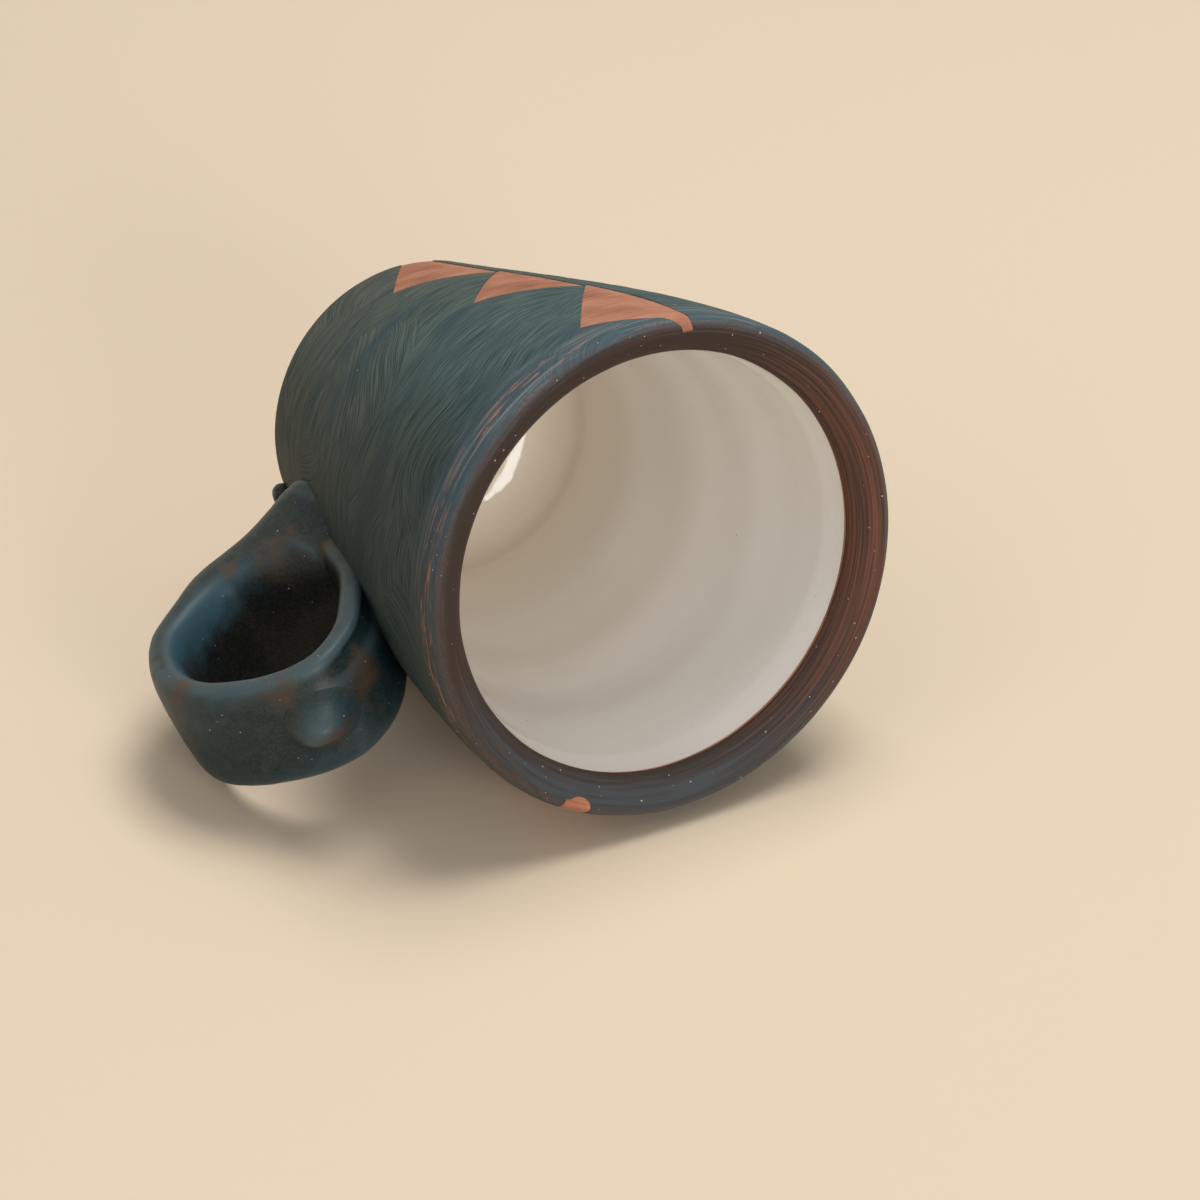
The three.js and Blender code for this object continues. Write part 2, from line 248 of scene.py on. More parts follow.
def brush_hairs(add, place):
    """Hairlines of a stiff brush: sweeps that sway round the pot, and dabs with their own slant and bend."""
    # The hairs lie a little wider apart than on the real mug
    length = per_mm(5)
    width = per_mm(0.14)
    sway = add("ShaderNodeTexNoise", {"Vector": place, "Scale": per_mm(20), "Detail": 1.0}).outputs["Color"]
    swayed = add("ShaderNodeVectorMath", {0: sway, 1: (10 * MM,) * 3, 2: place},
                 operation="MULTIPLY_ADD").outputs[0]
    sweep = add("ShaderNodeVectorMath", {0: swayed, 1: (length, length, width)},
                operation="MULTIPLY").outputs[0]

    dab = add("ShaderNodeTexVoronoi", {"Vector": swayed, "Scale": per_mm(17)})
    from_centre = add("ShaderNodeVectorMath", {0: swayed, 1: dab.outputs["Position"]},
                      operation="SUBTRACT").outputs[0]
    around = add("ShaderNodeVectorMath", {0: (0, 0, 1), 1: place}, operation="CROSS_PRODUCT").outputs[0]
    around = add("ShaderNodeVectorMath", {0: around}, operation="NORMALIZE").outputs[0]
    side = add("ShaderNodeVectorMath", {0: from_centre, 1: around}, operation="DOT_PRODUCT").outputs["Value"]
    rise = add("ShaderNodeSeparateXYZ", {0: from_centre}).outputs["Z"]
    chance = add("ShaderNodeSeparateColor", {0: dab.outputs["Color"]}).outputs
    slant = add("ShaderNodeMapRange", {"Value": chance[0], "To Min": -0.9, "To Max": 0.9}).outputs[0]
    bend = add("ShaderNodeMapRange", {"Value": chance[1], "To Min": -60.0, "To Max": 60.0}).outputs[0]
    cosine = add("ShaderNodeMath", {0: slant}, operation="COSINE").outputs[0]
    sine = add("ShaderNodeMath", {0: slant}, operation="SINE").outputs[0]
    side_squared = add("ShaderNodeMath", {0: side, 1: side}, operation="MULTIPLY").outputs[0]
    bowed = add("ShaderNodeMath", {0: side_squared, 1: bend, 2: rise}, operation="MULTIPLY_ADD").outputs[0]
    upright = add("ShaderNodeMath", {0: bowed, 1: cosine}, operation="MULTIPLY").outputs[0]
    across = add("ShaderNodeMath", {0: side, 1: sine, 2: upright}, operation="MULTIPLY_ADD").outputs[0]
    dab_place = add("ShaderNodeCombineXYZ", {0: side, 1: across, 2: chance[2]}).outputs[0]
    dab_spread = 50.0
    dabbed = add("ShaderNodeVectorMath", {0: dab_place, 1: (length, width, dab_spread)},
                 operation="MULTIPLY").outputs[0]

    sweep_hairs, dab_hairs = (
        add("ShaderNodeTexNoise", {"Vector": stroke, "Scale": 1.0, "Detail": 1.0,
                                   "Roughness": 0.5}).outputs["Fac"] for stroke in (sweep, dabbed))
    dab_share = add("ShaderNodeMapRange", {"Value": dab.outputs["Distance"], "From Min": 0.62,
                                           "From Max": 0.38}, interpolation_type="SMOOTHSTEP").outputs[0]
    hairs = add("ShaderNodeMix", {0: dab_share, 2: sweep_hairs, 3: dab_hairs}).outputs[0]
    return hairs, swayed


def wall_colour(add, place, hairs, swayed):
    """Colour of the brushed wall: bluer where the slip lies thick, olive by the foot, with painted shade by
    the handle.
    """
    hair_share = add("ShaderNodeMapRange", {"Value": hairs, "From Min": 0.36, "From Max": 0.64},
                     interpolation_type="SMOOTHSTEP").outputs[0]
    height = add("ShaderNodeSeparateXYZ", {0: place}).outputs["Z"]
    olive = add("ShaderNodeMapRange", {"Value": height, "From Min": 45 * MM, "From Max": 5 * MM}).outputs[0]
    ridge = add("ShaderNodeMix", {0: olive, 6: linear("#586d6b"), 7: linear("#5d6156")},
                data_type="RGBA").outputs[2]
    thin = add("ShaderNodeMix", {0: hair_share, 6: linear("#22393d"), 7: ridge}, data_type="RGBA").outputs[2]
    patch_scale = (per_mm(24), per_mm(24), per_mm(9))
    patch_place = add("ShaderNodeVectorMath", {0: swayed, 1: patch_scale}, operation="MULTIPLY").outputs[0]
    patch = add("ShaderNodeTexNoise", {"Vector": patch_place, "Scale": 1.0, "Detail": 2.0}).outputs["Fac"]
    thick_share = add("ShaderNodeMapRange", {"Value": patch, "From Min": 0.5, "From Max": 0.72,
                                             "To Max": 0.7}, interpolation_type="SMOOTHSTEP").outputs[0]
    wall = add("ShaderNodeMix", {0: thick_share, 6: thin, 7: linear("#27434e")}, data_type="RGBA").outputs[2]
    # Painted shade: the wall beside the handle is darkened where the handle shades it
    painted_shade_share = on_side(add, place, azimuth=-20, start=15, end=29, high=0.7, easing="SMOOTHSTEP")
    return add("ShaderNodeMix", {0: painted_shade_share, 6: wall, 7: linear("#a5a59f")}, data_type="RGBA",
               blend_type="MULTIPLY").outputs[2]


def band_colour(add, place, streak):
    """Colour of the bluish band below the rim, with pale streaks, worn brown by the handle."""
    pale = add("ShaderNodeMapRange", {"Value": streak, "From Min": 0.48, "From Max": 0.68},
               interpolation_type="SMOOTHSTEP").outputs[0]
    streaked = add("ShaderNodeMix", {0: pale, 6: linear("#41565f"), 7: linear("#7d7f81")},
                   data_type="RGBA").outputs[2]
    worn_share = on_side(add, place, azimuth=10, start=15, end=31, high=0.7)
    return add("ShaderNodeMix", {0: worn_share, 6: streaked, 7: linear("#453a31")},
               data_type="RGBA").outputs[2]


def lip_colour(add, place, run, lines, streak):
    """Colour of the brown lip, worn red away from the handle and blue-grey on the side that it lies on."""
    red_reach = on_side(add, place, azimuth=154, start=4, end=30, high=0.3)
    red_lines = add("ShaderNodeMath", {0: lines, 1: red_reach}, operation="ADD").outputs[0]
    red_share = add("ShaderNodeMapRange", {"Value": red_lines, "From Min": 0.6, "From Max": 0.92}).outputs[0]
    brown = add("ShaderNodeMix", {0: red_share, 6: linear("#3a302b"), 7: linear("#6e4738")},
                data_type="RGBA").outputs[2]
    blue_reach = on_side(add, place, azimuth=53, start=6, end=30, high=0.6)
    inner_edge = add("ShaderNodeMapRange", {"Value": run, "From Min": 4.5, "From Max": 7.5,
                                            "To Max": -0.4}).outputs[0]
    blue_reach = add("ShaderNodeMath", {0: blue_reach, 1: inner_edge}, operation="ADD").outputs[0]
    blue_lines = add("ShaderNodeMath", {0: streak, 1: blue_reach}, operation="ADD").outputs[0]
    blue_share = add("ShaderNodeMapRange", {"Value": blue_lines, "From Min": 0.7, "From Max": 1.15,
                                            "To Max": 0.9}).outputs[0]
    return add("ShaderNodeMix", {0: blue_share, 6: brown, 7: linear("#42484c")}, data_type="RGBA").outputs[2]


def brushed_slip():
    """Matt slip brushed on thin: grey-green hairlines over deep teal, dark brown on the lip, and rubbed
    through to orange clay in scratches along the rim."""
    material, tree, shader = new_material("brushed_slip", Roughness=0.7, IOR=1.45, Specular_IOR_Level=0.25)
    add = partial(add_node, tree)
    place = add("ShaderNodeTexCoord").outputs["Object"]
    hairs, swayed = brush_hairs(add, place)

    # Streaks and turning lines that follow the rim: run is the distance in mm from the shoulder over the lip
    run = add("ShaderNodeAttribute", attribute_name="run").outputs["Fac"]
    streak_length = per_mm(11)
    streaks_per_mm = 2.0
    run_up = add("ShaderNodeMath", {0: run, 1: streaks_per_mm}, operation="MULTIPLY").outputs[0]
    run_place = add("ShaderNodeCombineXYZ", {2: run_up}).outputs[0]
    rim_place = add("ShaderNodeVectorMath", {0: place, 1: (streak_length, streak_length, 0), 2: run_place},
                    operation="MULTIPLY_ADD").outputs[0]
    streak = add("ShaderNodeTexNoise", {"Vector": rim_place, "Scale": 1.0, "Detail": 3.0}).outputs["Fac"]
    line_place = add("ShaderNodeVectorMath", {0: rim_place, 1: (0.5, 0.5, 1.7)},
                     operation="MULTIPLY").outputs[0]
    lines = add("ShaderNodeTexNoise", {"Vector": line_place, "Scale": 1.0, "Detail": 2.0}).outputs["Fac"]

    # Wall, then the band below the rim, then the lip
    band_share = add("ShaderNodeMapRange", {"Value": run, "From Min": -7.0, "From Max": -1.5, "To Max": 0.75},
                     interpolation_type="SMOOTHSTEP").outputs[0]
    rimmed = add("ShaderNodeMix", {0: band_share, 6: wall_colour(add, place, hairs, swayed),
                                   7: band_colour(add, place, streak)}, data_type="RGBA").outputs[2]
    uneven_run = add("ShaderNodeMath", {0: streak, 1: 2.2, 2: run}, operation="MULTIPLY_ADD").outputs[0]
    lip_share = add("ShaderNodeMapRange", {"Value": uneven_run, "From Min": 2.4, "From Max": 3.6},
                    interpolation_type="SMOOTHSTEP").outputs[0]
    coated = add("ShaderNodeMix", {0: lip_share, 6: rimmed, 7: lip_colour(add, place, run, lines, streak)},
                 data_type="RGBA").outputs[2]

    # Crest worn to a crumbly red edge
    crest_run = 2.7
    from_crest = add("ShaderNodeMath", {0: uneven_run, 1: crest_run}, operation="SUBTRACT").outputs[0]
    crest_distance = add("ShaderNodeMath", {0: from_crest}, operation="ABSOLUTE").outputs[0]
    crest_share = add("ShaderNodeMapRange", {"Value": crest_distance, "From Min": 0.9,
                                             "From Max": 0.2}).outputs[0]
    crumbs = add("ShaderNodeTexNoise", {"Vector": place, "Scale": per_mm(0.4), "Detail": 2.0}).outputs["Fac"]
    crumb_share = add("ShaderNodeMapRange", {"Value": crumbs, "From Min": 0.4, "From Max": 0.65,
                                             "To Max": 0.75}).outputs[0]
    worn_edge = add("ShaderNodeMath", {0: crest_share, 1: crumb_share}, operation="MULTIPLY").outputs[0]
    coated = add("ShaderNodeMix", {0: worn_edge, 6: coated, 7: linear("#5f4035")},
                 data_type="RGBA").outputs[2]

    # Scratches down to the clay on the rim's outer edge, most of them by the handle
    scrape_place = add("ShaderNodeVectorMath", {0: rim_place, 1: (2.2, 2.2, 1.0)},
                       operation="MULTIPLY").outputs[0]
    scrapes = add("ShaderNodeTexNoise", {"Vector": scrape_place, "Scale": 1.0, "Detail": 3.0,
                                         "Roughness": 0.6, "Distortion": 0.6}).outputs["Fac"]
    edge_run = -1.2
    from_edge = add("ShaderNodeMath", {0: run, 1: edge_run}, operation="SUBTRACT").outputs[0]
    edge_distance = add("ShaderNodeMath", {0: from_edge}, operation="ABSOLUTE").outputs[0]
    edge_share = add("ShaderNodeMapRange", {"Value": edge_distance, "From Min": 2.2,
                                            "From Max": 0.8}).outputs[0]
    bare_reach = on_side(add, place, azimuth=-18, start=-25, end=22, low=-0.08, high=0.06)
    scratch_lines = add("ShaderNodeMath", {0: scrapes, 1: bare_reach}, operation="ADD").outputs[0]
    scratch = add("ShaderNodeMapRange", {"Value": scratch_lines, "From Min": 0.63,
                                         "From Max": 0.68}).outputs[0]
    scratch_share = add("ShaderNodeMath", {0: scratch, 1: edge_share}, operation="MULTIPLY").outputs[0]
    colour = add("ShaderNodeMix", {0: scratch_share, 6: coated, 7: linear("#a27463")},
                 data_type="RGBA").outputs[2]
    tree.links.new(colour, shader.inputs["Base Color"])

    relief = add("ShaderNodeMix", {0: lip_share, 2: hairs, 3: lines}).outputs[0]
    bump = add("ShaderNodeBump", {"Height": relief, "Distance": 0.1 * MM, "Strength": 1.0})
    tree.links.new(bump.outputs[0], shader.inputs["Normal"])
    return material


def white_glaze():
    """Tin-white glaze, glossy and warm off-white, with painted shade: darker and creamier down the cup, and
    greyer by the lip on one side; with a few iron specks."""
    material, tree, shader = new_material("white_glaze", Roughness=0.1, IOR=1.52)
    add = partial(add_node, tree)
    place = add("ShaderNodeTexCoord").outputs["Object"]
    ring_scale = (per_mm(60), per_mm(60), per_mm(7))
    ring_place = add("ShaderNodeVectorMath", {0: place, 1: ring_scale}, operation="MULTIPLY").outputs[0]
    rings = add("ShaderNodeTexNoise", {"Vector": ring_place, "Scale": 1.0, "Detail": 2.0}).outputs["Fac"]
    white = add("ShaderNodeValToRGB", {"Fac": rings}, stops=(
        (0.3, linear("#f1eee8")), (0.7, linear("#f7f4ee")))).outputs["Color"]

    # Painted shade: darker and creamier deeper down the cup, and greyer near the lip on one side
    height = add("ShaderNodeSeparateXYZ", {0: place}).outputs["Z"]
    even_height = 45 * MM
    painted_deep_shade_share = add("ShaderNodeMapRange", {"Value": height, "From Min": even_height,
                                              "From Max": 8 * MM}).outputs[0]
    painted_deep_shade = add("ShaderNodeMix", {0: painted_deep_shade_share, 6: white, 7: linear("#d6cab8")},
                 data_type="RGBA").outputs[2]
    high_share = add("ShaderNodeMapRange", {"Value": height, "From Min": even_height,
                                            "From Max": GLAZE_LINE * MM}).outputs[0]
    side_share = on_side(add, place, azimuth=20, start=-10, end=18)
    painted_rim_shade_share = add("ShaderNodeMath", {0: high_share, 1: side_share}, operation="MULTIPLY").outputs[0]
    tone = add("ShaderNodeMix", {0: painted_rim_shade_share, 6: painted_deep_shade, 7: linear("#cfc9c3")}, data_type="RGBA").outputs[2]

    speck = add("ShaderNodeTexVoronoi", {"Vector": place, "Scale": per_mm(3)})
    size = add("ShaderNodeSeparateColor", {0: speck.outputs["Color"]}).outputs[0]
    reach = add("ShaderNodeMapRange", {"Value": size, "From Min": 0.7, "From Max": 1.0,
                                       "To Max": 0.06}).outputs[0]
    dark = add("ShaderNodeMath", {0: speck.outputs["Distance"], 1: reach}, operation="LESS_THAN").outputs[0]
    colour = add("ShaderNodeMix", {0: dark, 6: tone, 7: linear("#7c6a58")}, data_type="RGBA").outputs[2]
    tree.links.new(colour, shader.inputs["Base Color"])
    waves = add("ShaderNodeTexNoise", {"Vector": place, "Scale": per_mm(5), "Detail": 4.0}).outputs["Fac"]
    bump = add("ShaderNodeBump", {"Height": waves, "Distance": 0.16 * MM, "Strength": 0.5})
    tree.links.new(bump.outputs[0], shader.inputs["Normal"])
    return material


def handle_slip():
    """Slip rubbed smooth with a wet finger: satin blue-grey, paler on worn edges with a painted sheen, with
    painted light and painted shade near black in the hollow, and brown where worn.
    """
    material, tree, shader = new_material("rubbed_slip", Roughness=0.44, IOR=1.45, Specular_IOR_Level=0.3)
    add = partial(add_node, tree)
    place = add("ShaderNodeTexCoord").outputs["Object"]
    clouds = add("ShaderNodeTexNoise", {"Vector": place, "Scale": per_mm(9), "Detail": 3.0}).outputs["Fac"]
    rub = add("ShaderNodeTexNoise", {"Vector": place, "Scale": per_mm(3), "Detail": 4.0,
                                     "Roughness": 0.65}).outputs["Fac"]

    # Outer face, paler where it stands out: worn edges, with a painted sheen on them
    cloud_share = add("ShaderNodeMapRange", {"Value": clouds, "From Min": 0.35, "From Max": 0.65},
                      interpolation_type="SMOOTHSTEP").outputs[0]
    base = add("ShaderNodeMix", {0: cloud_share, 6: linear("#0f242a"), 7: linear("#1a2523")},
               data_type="RGBA").outputs[2]
    wear_and_sheen = add("ShaderNodeAttribute", attribute_name="wear_and_sheen").outputs["Fac"]
    edge_share = add("ShaderNodeMapRange", {"Value": wear_and_sheen, "From Min": 0.1, "From Max": 1.0,
                                            "To Max": 0.75}).outputs[0]
    worn_and_sheened = add("ShaderNodeMix", {0: edge_share, 6: base, 7: linear("#485a5f")}, data_type="RGBA").outputs[2]

    # Inner face of the loop: painted light, blue at its near edge, and painted shade, near black further in
    # and by the wall
    inside = add("ShaderNodeAttribute", attribute_name="inside").outputs["Fac"]
    painted_loop_share = add("ShaderNodeMapRange", {"Value": inside, "From Min": 0.25, "From Max": 0.8,
                                             "To Max": 0.85}).outputs[0]
    axes = add("ShaderNodeSeparateXYZ", {0: place}).outputs
    by_wall = add("ShaderNodeMapRange", {"Value": axes["X"], "From Min": 42 * MM, "From Max": 30 * MM,
                                         "To Max": 8 * MM}).outputs[0]
    depth = add("ShaderNodeMath", {0: axes["Y"], 1: by_wall}, operation="ADD").outputs[0]
    patchy = add("ShaderNodeMath", {0: clouds, 1: rub}, operation="ADD").outputs[0]
    uneven_depth = add("ShaderNodeMath", {0: patchy, 1: 8 * MM, 2: depth},
                       operation="MULTIPLY_ADD").outputs[0]
    painted_hollow_shade_share = add("ShaderNodeMapRange", {"Value": uneven_depth, "From Min": 2 * MM,
                                            "From Max": 7 * MM}).outputs[0]
    inner = add("ShaderNodeMix", {0: painted_hollow_shade_share, 6: linear("#34515c"), 7: linear("#15120f")},
                data_type="RGBA").outputs[2]
    looped = add("ShaderNodeMix", {0: painted_loop_share, 6: worn_and_sheened, 7: inner}, data_type="RGBA").outputs[2]

    # Fine pale grain, and brown where fingers rubbed
    grain = add("ShaderNodeTexNoise", {"Vector": place, "Scale": per_mm(0.4), "Detail": 2.0}).outputs["Fac"]
    grain_share = add("ShaderNodeMapRange", {"Value": grain, "From Min": 0.4, "From Max": 0.8,
                                             "To Max": 0.3}).outputs[0]
    grained = add("ShaderNodeMix", {0: grain_share, 6: looped, 7: linear("#43555a")},
                  data_type="RGBA").outputs[2]
    spots = add("ShaderNodeAttribute", attribute_name="rubbed").outputs["Fac"]
    rubbed = add("ShaderNodeMath", {0: spots, 1: 0.42, 2: rub}, operation="MULTIPLY_ADD").outputs[0]
    brown_share = add("ShaderNodeMapRange", {"Value": rubbed, "From Min": 0.58, "From Max": 0.95,
                                             "To Max": 0.75}).outputs[0]
    colour = add("ShaderNodeMix", {0: brown_share, 6: grained, 7: linear("#4f3e31")},
                 data_type="RGBA").outputs[2]
    tree.links.new(colour, shader.inputs["Base Color"])
    bump = add("ShaderNodeBump", {"Height": grain, "Distance": 0.05 * MM, "Strength": 0.5})
    tree.links.new(bump.outputs[0], shader.inputs["Normal"])
    return material


def pale_grog():
    """Grains of fired clay that stand in the slip: pale, dull and no larger than a pinhead."""
    material, tree, shader = new_material("pale_grog", Roughness=0.8, IOR=1.5)
    add = partial(add_node, tree)
    place = add("ShaderNodeTexCoord").outputs["Object"]
    lot = add("ShaderNodeTexNoise", {"Vector": place, "Scale": per_mm(2), "Detail": 0.0}).outputs["Fac"]
    tone = add("ShaderNodeValToRGB", {"Fac": lot}, stops=(
        (0.35, linear("#7d7268")), (0.65, linear("#cdc5b8")))).outputs["Color"]
    tree.links.new(tone, shader.inputs["Base Color"])
    return material


def pale_floor():
    """Plain pale cream board, fading out towards its edge and open from behind."""
    material, tree, shader = new_material("pale_floor", Roughness=0.95, IOR=1.3)
    add = partial(add_node, tree)
    shader.inputs["Base Color"].default_value = linear(FLOOR_COLOUR)
    fade = add("ShaderNodeAttribute", attribute_name="fade").outputs["Fac"]
    behind = add("ShaderNodeNewGeometry").outputs["Backfacing"]
    open_share = add("ShaderNodeMath", {0: fade, 1: behind}, operation="MAXIMUM").outputs[0]
    clear = add("ShaderNodeBsdfTransparent").outputs[0]
    mixed = add("ShaderNodeMixShader", {0: open_share, 1: shader.outputs[0], 2: clear}).outputs[0]
    tree.links.new(mixed, tree.nodes["Material Output"].inputs["Surface"])
    return material


# Shapes

def new_object(name, mesh, material):
    """Link a smooth mesh as an object at the origin, with one material."""
    piece = bpy.data.objects.new(name, mesh)
    bpy.context.scene.collection.objects.link(piece)
    mesh.materials.clear()
    mesh.materials.append(material)
    mesh.polygons.foreach_set("use_smooth", [True] * len(mesh.polygons))
    return piece


def baked(piece):
    """Give a piece the mesh that its modifiers make, and take the modifiers off."""
    graph = bpy.context.evaluated_depsgraph_get()
    mesh = bpy.data.meshes.new_from_object(piece.evaluated_get(graph))
    piece.modifiers.clear()
    old = piece.data
    piece.data = mesh
    bpy.data.meshes.remove(old)
    mesh.name = piece.name
    return piece


def grid_mesh(name, points, first_pole=None, last_pole=None):
    """Mesh through a grid of points in mm, rows by columns, closed round each row and at its poles."""
    rows, columns = points.shape[:2]
    index = np.arange(rows * columns).reshape(rows, columns)
    following = np.roll(index, -1, axis=1)
    quads = np.stack([index[:-1], following[:-1], following[1:], index[1:]], axis=-1).reshape(-1, 4).tolist()
    vertices = points.reshape(-1, 3).tolist()
    for pole, ring, order in ((first_pole, index[0], -1), (last_pole, index[-1], 1)):
        if pole is not None:
            centre = len(vertices)
            vertices.append(list(pole))
            quads += [[a, b, centre][::order] for a, b in zip(ring.tolist(), np.roll(ring, -1).tolist())]
    mesh = bpy.data.meshes.new(name)
    mesh.from_pydata([[c * MM for c in vertex] for vertex in vertices], [], quads)
    return mesh


def turned(profile, columns):
    """Grid of points from a profile of (radius, height) rows, turned round the upright axis."""
    azimuth = np.arange(columns) * 2 * np.pi / columns
    radius = profile[:, :1]
    height = np.repeat(profile[:, 1:], columns, axis=1)
    return np.stack([radius * np.cos(azimuth), radius * np.sin(azimuth), height], axis=-1)


def bezier(points, count):
    """Points along a cubic curve given by its four control points."""
    t = np.linspace(0, 1, count)[:, None]
    a, b, c, d = (np.array(point) for point in points)
    return (1 - t) ** 3 * a + 3 * t * (1 - t) ** 2 * b + 3 * t * t * (1 - t) * c + t ** 3 * d


WALL_CURVE = bezier([
    (FOOT_RADIUS, 0),
    (FOOT_RADIUS + FOOT_FLARE * LIP_SHOULDER / 2, LIP_SHOULDER / 2),
    (RIM_RADIUS - RIM_FLARE * LIP_SHOULDER / 5, LIP_SHOULDER * 4 / 5),
    (RIM_RADIUS, LIP_SHOULDER),
], 400)


def wall_radius(height):
    """Outer radius of the clay at a height."""
    return np.interp(height, WALL_CURVE[:, 1], WALL_CURVE[:, 0])


def arc(centre, semis, start, end, steps, fullness=2.0):
    """Part of an ellipse between two angles in degrees, without its first point; less full is straighter."""
    angle = np.radians(np.linspace(start, end, steps + 1)[1:])
    across = np.sign(np.cos(angle)) * np.abs(np.cos(angle)) ** (2 / fullness)
    up = np.sign(np.sin(angle)) * np.abs(np.sin(angle)) ** (2 / fullness)
    return np.stack([centre[0] + semis[0] * across, centre[1] + semis[1] * up], axis=-1)


def outer_profile(wall_rows, lip_rows):
    """Clay surface from the foot, up the outside and over the lip to the glaze line."""
    height = np.linspace(FOOT_CHAMFER, LIP_SHOULDER, wall_rows + 1)
    wall = np.stack([wall_radius(height), height], axis=-1)
    crest = RIM_RADIUS - LIP_ROUND
    inner = RIM_RADIUS - WALL_THICKNESS
    return np.concatenate([
        wall,
        arc((crest, LIP_SHOULDER), (LIP_ROUND, LIP_ROUND), 0, 90, lip_rows),
        arc((crest, GLAZE_LINE), (crest - inner, LIP_DROP), 90, 180, 2 * lip_rows, LIP_FULLNESS),
    ])


def inner_profile(wall_rows, corner_rows):
    """Clay surface from the glaze line down the inside and in to the middle of the floor."""
    corner_top = FLOOR_THICKNESS + CORNER_RADIUS
    height = np.linspace(GLAZE_LINE, corner_top, wall_rows + 1)
    corner = wall_radius(corner_top) - WALL_THICKNESS - CORNER_RADIUS
    across = np.linspace(corner, 0, corner_rows + 1)[1:-1]
    return np.concatenate([
        np.stack([wall_radius(height) - WALL_THICKNESS, height], axis=-1),
        arc((corner, corner_top), (CORNER_RADIUS, CORNER_RADIUS), 0, -90, corner_rows),
        np.stack([across, np.full_like(across, FLOOR_THICKNESS)], axis=-1),
    ])


def thickened(profile, thickness):
    """A profile moved out of the clay by a thickness."""
    along = np.gradient(profile, axis=0)
    normal = np.stack([along[:, 1], -along[:, 0]], axis=-1)
    return profile + thickness * normal / np.linalg.norm(normal, axis=1, keepdims=True)


def bumps(points, size, seed=0.0):
    """Smooth noise from about -1 to 1 at each point in mm, with features of this size in mm."""
    flat = points.reshape(-1, 3) / size + seed
    return np.array([noise.noise(point) for point in flat.tolist()]).reshape(points.shape[:-1])


def out_of_axis(points):
    """Unit vectors pointing away from the upright axis."""
    flat = points * np.array([1, 1, 0])
    return flat / np.maximum(np.linalg.norm(flat, axis=-1, keepdims=True), 1e-9)


def tooth_planes(spine_azimuth, shares):
    """Planes (point, outward normal) round a bare triangle: three square on the wall, and one at its depth."""
    low, tip, high = (share * CLAY_HEIGHT for share in shares)
    foot = max(low, 0)
    head = min(high, CLAY_HEIGHT)
    slope = math.atan2(wall_radius(head) - wall_radius(foot), head - foot)
    azimuth = math.radians(spine_azimuth) + TOOTH_REACH / 2 / wall_radius(tip)
    outward = Vector((math.cos(azimuth), math.sin(azimuth), 0))
    around = Vector((-math.sin(azimuth), math.cos(azimuth), 0))
    up_wall = outward * math.sin(slope) + Vector((0, 0, math.cos(slope)))
    square = around.cross(up_wall)
    base = outward * wall_radius(foot) + Vector((0, 0, foot))
    corners = [base + around * side * TOOTH_REACH / 2 + up_wall * (height - foot) / math.cos(slope)
               for side, height in ((-1, low), (1, tip), (-1, high))]
    planes = []
    for start, end in zip(corners, corners[1:] + corners[:1]):
        planes.append((start * MM, (end - start).cross(square).normalized()))
    planes.append(((base - square * TOOTH_DEPTH) * MM, -square))
    return planes, outward


def moon_planes():
    """Planes that bound the half-moon of bare clay on the lip, where a triangle's tail ends."""
    azimuth = math.radians(MOON_AZIMUTH)
    outward = Vector((math.cos(azimuth), math.sin(azimuth), 0))
    around = Vector((-math.sin(azimuth), math.cos(azimuth), 0))
    down = Vector((0, 0, -1))
    centre = outward * RIM_RADIUS - down * CLAY_HEIGHT
    turns = np.radians(np.linspace(-80, 80, 9))
    sides = [around * math.sin(turn) - outward * math.cos(turn) for turn in turns]
    return [((centre + side * MOON_REACH) * MM, side) for side in sides + [down]], outward


def cut_window(shell, planes, outward):
    """Cut the part of the slip that lies inside all planes out of its outer face."""
    reach = 0.6 * TOOTH_REACH * MM
    least_facing = 0.8

    def near(face):
        centre = face.calc_center_median()
        facing = Vector((centre.x, centre.y, 0)).normalized().dot(outward)
        return facing > least_facing and all((centre - point).dot(normal) < reach for point, normal in planes)

    for point, normal in planes:
        faces = [face for face in shell.faces if near(face)]
        parts = faces + list({edge for face in faces for edge in face.edges})
        parts += list({vertex for face in faces for vertex in face.verts})
        bmesh.ops.bisect_plane(shell, geom=parts, plane_co=point, plane_no=normal, dist=1e-7)
    inside = [face for face in shell.faces if near(face) and all(
        (face.calc_center_median() - point).dot(normal) < 0 for point, normal in planes)]
    bmesh.ops.delete(shell, geom=inside, context="FACES")


def cut_teeth(mesh):
    """Cut the bare triangles and the half-moon on the lip out of the slip's outer face."""
    shell = bmesh.new()
    shell.from_mesh(mesh)
    for azimuth in SPINE_AZIMUTHS:
        for shares in TOOTH_SHARES:
            cut_window(shell, *tooth_planes(azimuth, shares))
    cut_window(shell, *moon_planes())
    shell.to_mesh(mesh)
    shell.free()


def slip_coat(material):
    """Slip from the foot to the glaze line, with the bare triangles cut out and a brushed surface."""
    columns = 320
    wall_rows = 105
    profile = thickened(outer_profile(wall_rows, lip_rows=7), SLIP_THICKNESS)
    points = turned(profile, columns)
    depth = 0.05
    along_brush = np.array([0.3, 0.3, 1.6])
    relief = depth * bumps(points * along_brush, 2.0) + depth * bumps(points, 7.0, seed=11.0)
    points = points + out_of_axis(points) * relief[..., None]
    mesh = grid_mesh("slip_coat", points)
    steps = np.linalg.norm(np.diff(profile, axis=0), axis=1)
    run = np.concatenate([[0], np.cumsum(steps)])
    store(mesh, "run", np.repeat(run - run[wall_rows], columns))
    cut_teeth(mesh)
    piece = new_object("slip_coat_brushed", mesh, material)
    solid = piece.modifiers.new("thickness", "SOLIDIFY")
    solid.thickness = SLIP_STEP * MM
    solid.offset = -1
    return baked(piece)


